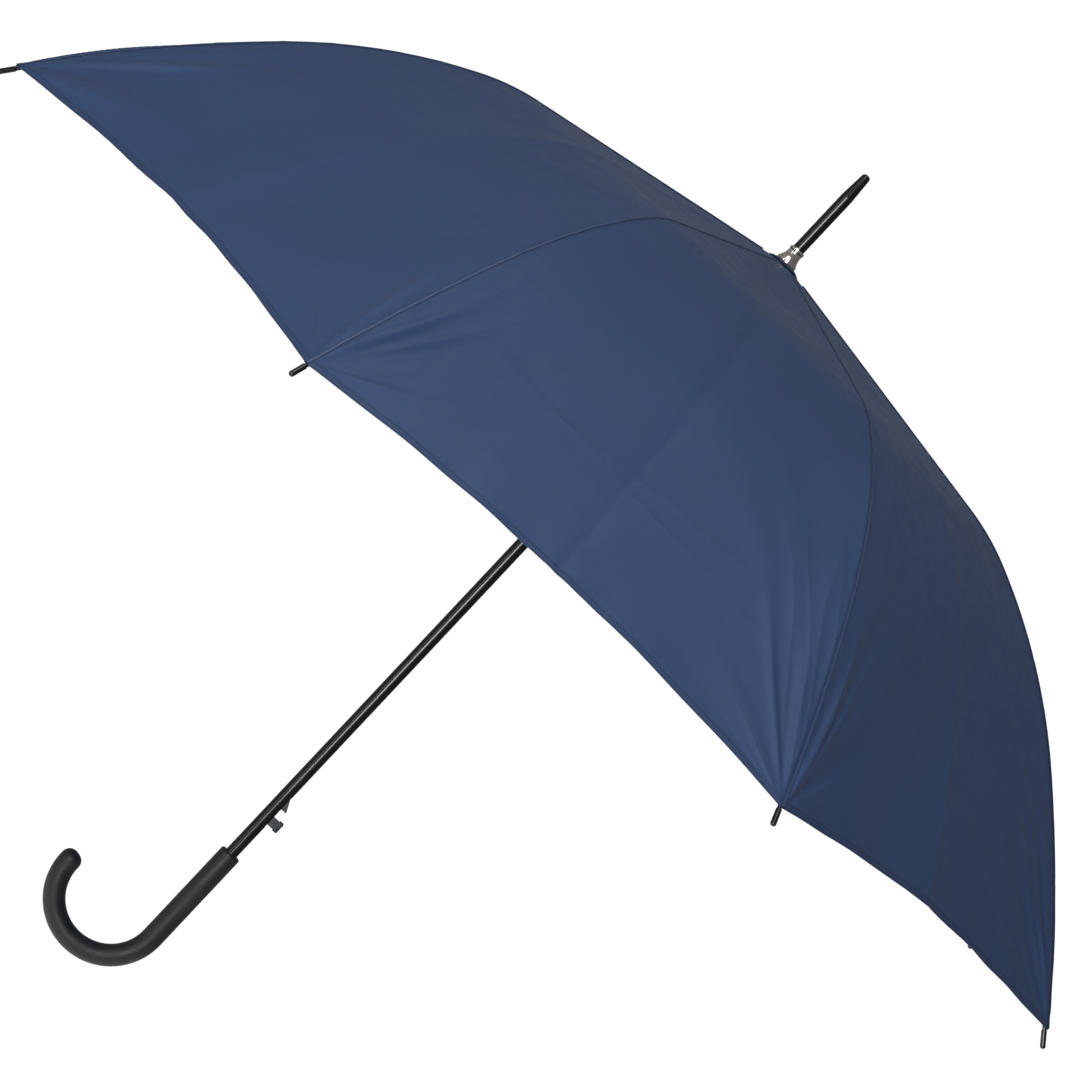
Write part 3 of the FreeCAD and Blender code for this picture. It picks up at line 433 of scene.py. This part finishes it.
def tape_material():
    """The same cloth where two gores join: a narrow fold with a row of stitches, a painted highlight on top and
    painted shade at its edges.
    """
    m = Shader("navy_seam", (0.026, 0.05, 0.125), 0.5, specular=0.3)
    m.polyester_sheen()
    weave = m.add("ShaderNodeUVMap", uv_map="Cloth").outputs["UV"]
    axes = m.add("ShaderNodeSeparateXYZ", [("Vector", weave)])
    across, along = axes.outputs["X"], axes.outputs["Y"]
    threads = m.noise(weave, 1.0, 2.0, stretch=(1900, 60, 1))
    mixed = m.ramp(threads, 0.3, 0.7, 0.0, 1.0)
    colour = m.blend_colours(mixed, (0.0235, 0.044, 0.104), (0.036, 0.064, 0.143))
    off = m.math("ABSOLUTE", m.math("SUBTRACT", across, -0.0008))
    line = m.ramp(off, 0.00015, 0.00035, 1.0, 0.0)
    dash = m.ramp(m.math("PINGPONG", along, STITCH), 0.0002, 0.0004, 0.0, 1.0)
    stitches = m.math("MULTIPLY", line, dash)
    colour = m.blend_colours(m.math("MULTIPLY", stitches, 0.6), colour, (0.009, 0.017, 0.042))
    # Painted highlight: a lighter line along the top of the raised seam, where light catches it.
    wear_and_painted_highlight = m.ramp(m.math("ABSOLUTE", m.math("SUBTRACT", across, 0.0002)), 0.0, 0.00045, 0.7, 0.0)
    colour = m.blend_colours(wear_and_painted_highlight, colour, (0.062, 0.098, 0.19))
    # Painted shade: the tape darkens towards both edges, where its fold dips into the cloth.
    fold = m.ramp(m.math("ABSOLUTE", across), TAPE_HALF - 0.0006, TAPE_HALF - 0.0001, 0.0, 0.8)
    colour = m.blend_colours(fold, colour, (0.012, 0.022, 0.055))
    m.link(colour, "Base Color")
    m.link(m.ramp(m.noise(weave, 300.0), 0.3, 0.7, 0.44, 0.58), "Roughness")
    puckers = m.math("SINE", m.math("MULTIPLY", along, 2244.0))
    height = m.math("SUBTRACT", m.math("MULTIPLY", puckers, 0.25), stitches)
    m.link(m.bump(height, 0.55, 0.00035), "Normal")
    return m.material


def paint_material(name, colour, low, high, coat=0.0, grain=0.02, specular=0.5):
    """Sprayed or moulded gloss: fine orange peel, faint rubbing marks along the part, uneven roughness."""
    m = Shader(name, colour, (low + high) / 2, specular=specular)
    m.set("Coat Weight", coat)
    m.set("Coat Roughness", 0.06)
    place = m.coordinates()
    rubs = m.noise(place, 1.0, 3.0, stretch=(700, 700, 24))
    dust = m.noise(place, 130.0, 5.0)
    marks = m.math("ADD", m.math("MULTIPLY", rubs, 0.55), m.math("MULTIPLY", dust, 0.45))
    m.link(m.ramp(marks, 0.36, 0.64, low, high), "Roughness")
    lighter = tuple(c * 1.9 + 0.004 for c in colour)
    m.link(m.blend_colours(m.ramp(marks, 0.5, 0.72, 0.0, 0.6), colour, lighter), "Base Color")
    peel = m.noise(place, 900.0, 2.0)
    m.link(m.bump(peel, grain, 0.00002), "Normal")
    return m.material


def rubber_material():
    """Matte soft-touch coating: powdery sheen, fine grain, slightly polished patches where hands rub."""
    m = Shader("soft_touch_rubber", (0.016, 0.0157, 0.017), 0.54, specular=0.36)
    m.set("Sheen Weight", 0.05)
    m.set("Sheen Roughness", 0.5)
    place = m.coordinates()
    patches = m.noise(place, 38.0, 4.0)
    fine = m.noise(place, 2300.0, 3.0)
    scuffs = m.noise(place, 1.0, 3.0, stretch=(420, 420, 60))
    m.link(m.ramp(m.math("ADD", m.math("MULTIPLY", patches, 0.6), m.math("MULTIPLY", scuffs, 0.4)),
                  0.35, 0.65, 0.42, 0.60), "Roughness")
    wear_and_painted_highlight = m.ramp(patches, 0.42, 0.68, 0.0, 0.8)
    m.link(m.blend_colours(wear_and_painted_highlight, (0.0105, 0.0103, 0.0115), (0.0165, 0.016, 0.0175)), "Base Color")
    m.link(m.bump(fine, 0.32, 0.00012, m.bump(patches, 0.05, 0.0004)), "Normal")
    return m.material


def metal_material(name, bright, dull, low, high, stretch):
    """Bare or plated metal with drawing or polishing lines and a little tarnish."""
    m = Shader(name, bright, (low + high) / 2, metallic=1.0)
    place = m.coordinates()
    lines = m.noise(place, 1.0, 3.0, stretch=stretch)
    tarnish = m.noise(place, 260.0, 4.0)
    m.link(m.blend_colours(m.ramp(tarnish, 0.4, 0.75, 0.0, 0.7), bright, dull), "Base Color")
    m.link(m.ramp(m.math("ADD", m.math("MULTIPLY", lines, 0.6), m.math("MULTIPLY", tarnish, 0.4)),
                  0.35, 0.65, low, high), "Roughness")
    m.link(m.bump(lines, 0.18, 0.00005), "Normal")
    return m.material


def plastic_material(name, colour, low, high, grain_scale):
    """Moulded nylon with a spark-eroded grain and slightly polished high spots."""
    m = Shader(name, colour, (low + high) / 2, specular=0.45)
    place = m.coordinates()
    grain = m.noise(place, grain_scale, 3.0)
    flow = m.noise(place, 55.0, 3.0)
    lighter = tuple(c * 1.5 + 0.003 for c in colour)
    m.link(m.blend_colours(m.ramp(flow, 0.35, 0.7, 0.0, 0.7), colour, lighter), "Base Color")
    m.link(m.ramp(m.math("ADD", m.math("MULTIPLY", grain, 0.4), m.math("MULTIPLY", flow, 0.6)),
                  0.35, 0.65, low, high), "Roughness")
    m.link(m.bump(grain, 0.3, 0.00012), "Normal")
    return m.material


CLOTH = cloth_material()
TAPE = tape_material()
FINISHES = {
    "shaft_steel": paint_material("black_enamel", (0.0034, 0.0033, 0.0038), 0.2, 0.24, coat=0.1),
    "grip_rubber": rubber_material(),
    "black_gloss": paint_material("black_gloss_cap", (0.0034, 0.0032, 0.0035), 0.18, 0.22, coat=0.1),
    "nickel": metal_material(
        "polished_nickel", (0.80, 0.74, 0.67), (0.5, 0.45, 0.40), 0.08, 0.18, (90, 90, 2600)
    ),
    "hub_plastic": plastic_material("black_nylon", (0.016, 0.016, 0.0175), 0.36, 0.5, 1500.0),
    "spring_steel": metal_material(
        "drawn_wire", (0.55, 0.55, 0.56), (0.34, 0.33, 0.33), 0.26, 0.40, (900, 900, 900)
    ),
    "catch_steel": metal_material(
        "blackened_strip", (0.045, 0.045, 0.05), (0.025, 0.025, 0.028), 0.28, 0.42, (1500, 1500, 90)
    ),
    "button_plastic": plastic_material("grey_nylon", (0.015, 0.016, 0.020), 0.17, 0.25, 1900.0),
    "rib_steel": paint_material("black_e_coat", (0.011, 0.011, 0.012), 0.30, 0.44, grain=0.2),
    "rod_black": paint_material("glass_fibre_rod", (0.010, 0.010, 0.011), 0.20, 0.34, coat=0.3),
}
for part in frame["record"]["subparts"]:
    finish = FINISHES.get(part["material_slot"])
    holder = frame["nodes"][part["node"]]
    if finish:
        for slot in holder.material_slots:
            slot.material = finish

# ------------------------------------------------------------------ the canopy
# Each zone: its name, where it starts and ends along the rib, its rows and columns of points, and the share
# of its width that it keeps when the umbrella is closed. The rim ends at the scalloped hem.
ZONES = (
    ("inner", HUB_S, FLEX, 60, 34, 0.13),
    ("bend", FLEX, BEND_END, 36, 66, 0.08),
    ("middle", BEND_END, MIDDLE, 38, 76, 0.11),
    ("outer", MIDDLE, OUTER_END, 50, 96, 0.10),
    ("rim", OUTER_END, None, 64, 110, 0.07),
)


def half_gore(rib, side):
    """A rib's cloth to one side, in zones: the inner one swings with the rib, the others with its rod."""
    number = rib if side > 0 else (rib - 2) % RIBS + 1
    gore = GORES[number]
    edge_side = -side
    angle = rib_angle(rib)
    radial = Vector((math.cos(angle), math.sin(angle), 0))
    label = "left" if side < 0 else "right"
    made = []
    for zone, first, last, rows, columns, keep in ZONES:
        s, u = side_grid(gore, edge_side, first, last, rows, columns)
        cloth = Cloth()
        weave, edge = cloth_maps(gore, s, u)
        points, normals = gore.place(s, u), gore.normal(s, u)
        cloth.grid(points, normals, weave, edge, flip=side < 0)
        if last is None:
            add_hem(cloth, gore, s[-1], u[-1], side)
        item = cloth.build(f"canopy_{zone}_{label}_{rib}", CLOTH)
        end = RIM - SCALLOP / 2 if last is None else last
        middle = (first + end) / 2
        anchor = radial * float(np.interp(middle, LINE_S, LINE_R))
        anchor.z = float(np.interp(middle, LINE_S, LINE_Z))
        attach(item, f"rib_{rib}" if zone == "inner" else f"rib_end_{rib}")
        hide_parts(f"canopy_panel_{rib}")
        widths = [float(np.interp(at, LINE_S, LINE_R)) * math.sin(HALF) for at in (first, middle, end)]
        length = end - first
        area = (widths[0] + 4 * widths[1] + widths[2]) / 6 * length
        held_by = f"rib_inner_{rib}" if zone == "inner" else f"rib_outer_{rib}"
        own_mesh(item)
        made.append((item, (widths[2], length), area, held_by))
    return made


def add_hem(cloth, gore, s, u, side):
    """The hem: the cloth is turned under, so its edge is two layers thick."""
    s, u = s[None, :], u[None, :]
    radius = np.interp(s, LINE_S, LINE_R)
    slope = np.interp(s, LINE_S, LINE_SLOPE)[..., None]
    outward = np.cos(slope) * gore.out - np.sin(slope) * UP
    weave = np.stack([u * radius * math.sin(HALF) + gore.number, s], axis=-1)
    edge = np.stack([(1 - np.abs(u)) * radius * math.sin(HALF), np.zeros_like(s)], axis=-1)
    top, low = gore.place(s, u), gore.place(s, u, -HEM_THICK)
    cloth.grid(
        np.concatenate([top, low]),
        np.concatenate([outward, outward]),
        np.concatenate([weave, weave]),
        np.concatenate([edge, edge]),
        flip=side < 0,
    )
    inner = gore.place(s - HEM, u, -HEM_THICK)
    under = -gore.normal(s, u)
    turned = np.concatenate([weave, weave - np.array([0, HEM])])
    edges = np.concatenate([edge, edge + np.array([0, HEM])])
    cloth.grid(np.concatenate([low, inner]), np.concatenate([under, under]), turned, edges, flip=side < 0)


TAPE_PROFILE = (
    (-1, 0.00008),
    (-0.7, 0.0005),
    (-0.3, 0.00085),
    (0.1, 0.001),
    (0.5, 0.0008),
    (0.8, 0.0004),
    (1, 0.00008),
)


def seam_tape(rib):
    """The seam's raised edge over a rib, in two lengths that meet at the flex joint."""
    after, before = GORES[rib], GORES[(rib - 2) % RIBS + 1]
    made = []
    rng = np.random.default_rng(77 + rib)
    phase = rng.uniform(0, 6.28, 3)
    for zone, first, last, rows in (("inner", 0.013, FLEX, 150), ("outer", FLEX, RIM - 0.0008, 230)):
        s = np.linspace(first, last, rows)
        radius = np.interp(s, LINE_S, LINE_R)
        wander = 0.00012 * np.sin(s * 160 + phase[0]) + 0.00006 * np.sin(s * 390 + phase[1])
        width = TAPE_HALF * (1 + 0.05 * np.sin(s * 210 + phase[2]))
        columns, normals = [], []
        for share, lift in TAPE_PROFILE:
            off = share * width + wander
            u_after = np.minimum(-1 + np.maximum(off, 0) / (radius * math.sin(HALF)), 1)
            u_before = np.maximum(1 + np.minimum(off, 0) / (radius * math.sin(HALF)), -1)
            place_after, place_before = after.place(s, u_after, lift), before.place(s, u_before, lift)
            columns.append(np.where((off > 0)[:, None], place_after, place_before))
            lean = (after.lean(s) + before.lean(s)) / 2
            across = (after.across + before.across) / 2
            tipped = lean + across * share * (0.25 + 0.5 * abs(share))
            normals.append(tipped / np.linalg.norm(tipped, axis=-1, keepdims=True))
        points = np.stack(columns, axis=1)
        shares = np.array([share for share, _ in TAPE_PROFILE])
        across_tape = shares[None, :] * width[:, None]
        weave = np.stack([across_tape, np.broadcast_to(s[:, None], across_tape.shape)], axis=-1)
        tape = Cloth()
        tape.grid(points, np.stack(normals, axis=1), weave, weave)
        item = tape.build(f"seam_{zone}_{rib}", TAPE)
        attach(item, f"rib_{rib}" if zone == "inner" else f"rib_end_{rib}")
        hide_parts(f"canopy_panel_{rib}")
        made.append(item)
    return made


for rib in range(1, RIBS + 1):
    tapes = seam_tape(rib)
    for side in (-1, 1):
        for item, flat, area, held_by in half_gore(rib, side):
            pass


# ------------------------------------------------------------------ rosette under the collar
ROSETTE_HOLE = 0.0052
LOWER_REACH, UPPER_REACH = 0.94, 0.80


def rosette():
    """A gathered patch of the canopy's cloth: two layers that lie on the crown and rise under the collar."""
    low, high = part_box("crown_rosette")
    outer = (high.x - low.x) / 2
    cloth = Cloth()
    under_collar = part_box("crown_collar")[0].z - 0.0002
    for reach, lift, lobes, phase in ((LOWER_REACH, 0.0, 11, 0.3), (UPPER_REACH, 0.0006, 9, 1.9)):
        radius = np.linspace(ROSETTE_HOLE, outer * reach, 18)[:, None]
        turn = np.linspace(0, 2 * math.pi, 181)[None, :]
        share = (radius - ROSETTE_HOLE) / (outer * reach - ROSETTE_HOLE)
        wave = np.sin(lobes * turn + phase + 0.6 * np.sin(3 * turn))
        wave = wave + 0.4 * np.sin((lobes * 2 + 3) * turn + phase * 2)
        rim = radius * (1 + share * 0.035 * np.sin(7 * turn + phase))
        lying = np.interp(radius, LINE_R, LINE_Z) + 0.0004 + lift
        gathered = 1 - smooth(0.0082, 0.0112, radius)
        z = lying + gathered * np.maximum(under_collar - lying, 0)
        z = z + (1 - gathered) * share * 0.00022 * (1 + wave)
        points = np.stack([rim * np.cos(turn), rim * np.sin(turn), np.broadcast_to(z, rim.shape)], axis=-1)
        along = np.gradient(points, axis=0)
        around = np.gradient(points, axis=1)
        around[:, 0] = around[:, -1] = (points[:, 1] - points[:, -2])
        normal = np.cross(along, around)
        normal /= np.linalg.norm(normal, axis=-1, keepdims=True)
        arc = radius * np.broadcast_to(turn, rim.shape)
        weave = np.stack([arc, np.broadcast_to(radius, rim.shape)], axis=-1)
        from_rim = np.broadcast_to(outer * reach - radius + 0.0032, rim.shape)
        edge = np.stack([np.full(rim.shape, 0.02), from_rim], axis=-1)
        cloth.grid(points, normal, weave, edge)
    item = cloth.build("rosette", CLOTH)
    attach(item, "root")
    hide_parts("crown_rosette")


rosette()


# ------------------------------------------------------------------ floor, light and camera
FLOOR_R = 4.4
FLOOR_Z = -1.9


def floor():
    """A pale floor well below the umbrella, which is held up in the hand."""
    mesh = bpy.data.meshes.new("floor")
    turn = [math.tau * step / 96 for step in range(96)]
    points = [(FLOOR_R * math.cos(a), FLOOR_R * math.sin(a), FLOOR_Z) for a in turn]
    mesh.from_pydata(points, [], [list(range(96))])
    item = bpy.data.objects.new("floor", mesh)
    scene.collection.objects.link(item)
    m = Shader("pale_floor", (0.93, 0.93, 0.93), 0.9, specular=0.1)
    m.set("Emission Color", (1, 1, 1, 1))
    m.set("Emission Strength", 0.75)
    mesh.materials.append(m.material)


def softbox(name, place, target, size, watts):
    light = bpy.data.lights.new(name, "AREA")
    light.shape = "RECTANGLE"
    light.size, light.size_y = size
    light.energy = watts
    item = bpy.data.objects.new(name, light)
    item.location = place
    item.rotation_euler = (Vector(target) - Vector(place)).to_track_quat("-Z", "Y").to_euler()
    scene.collection.objects.link(item)


def surroundings():
    """A plain white studio: white behind the umbrella, and soft light all round that fades towards +X."""
    world = bpy.data.worlds.new("studio")
    scene.world = world
    world.use_nodes = True
    tree = world.node_tree
    tree.nodes.clear()
    out = tree.nodes.new("ShaderNodeOutputWorld")
    seen = tree.nodes.new("ShaderNodeBackground")
    lit = tree.nodes.new("ShaderNodeBackground")
    mix = tree.nodes.new("ShaderNodeMixShader")
    path = tree.nodes.new("ShaderNodeLightPath")
    seen.inputs["Strength"].default_value = 1.05
    seen.inputs["Color"].default_value = lit.inputs["Color"].default_value = (1, 1, 1, 1)
    toward = tree.nodes.new("ShaderNodeTexCoord")
    split = tree.nodes.new("ShaderNodeSeparateXYZ")
    fade = tree.nodes.new("ShaderNodeMapRange")
    for key, value in (("From Min", -1.0), ("From Max", 1.0), ("To Min", 0.27), ("To Max", 0.14)):
        fade.inputs[key].default_value = value
    tree.links.new(toward.outputs["Generated"], split.inputs["Vector"])
    tree.links.new(split.outputs["X"], fade.inputs["Value"])
    tree.links.new(fade.outputs["Result"], lit.inputs["Strength"])
    tree.links.new(path.outputs["Is Camera Ray"], mix.inputs[0])
    tree.links.new(lit.outputs[0], mix.inputs[1])
    tree.links.new(seen.outputs[0], mix.inputs[2])
    tree.links.new(mix.outputs[0], out.inputs["Surface"])


RIGHT = Vector((0.72893, -0.01801, 0.68436))
DOWN = Vector((0.68186, -0.0702, -0.72811))
FORWARD = Vector((0.06115, 0.99737, -0.03889))
EYE = Vector((-0.1756, -2.9903, 0.4863))
CENTRE = Vector((0, 0, 0.36))


def camera():
    data = bpy.data.cameras.new("camera")
    data.lens = 135.2
    data.sensor_width = 36
    data.clip_start, data.clip_end = 0.05, 60
    item = bpy.data.objects.new("camera", data)
    side = RIGHT.normalized()
    back = (-FORWARD - side * (-FORWARD).dot(side)).normalized()
    up = back.cross(side)
    turn = Matrix((side, up, back)).transposed()
    item.matrix_world = Matrix.Translation(EYE) @ turn.to_4x4()
    scene.collection.objects.link(item)
    scene.camera = item


floor()
surroundings()
camera()
softbox("key", CENTRE + Vector((-0.46, -2.74, 0.05)), CENTRE, (1.0, 1.3), 50)
softbox("top", CENTRE + Vector((-0.7, -1.1, 2.4)), CENTRE, (1.4, 1.4), 18)
softbox("strip", CENTRE + Vector((-1.9, -1.75, 0)), CENTRE, (0.3, 2.4), 7)
scene.view_settings.view_transform = "Standard"
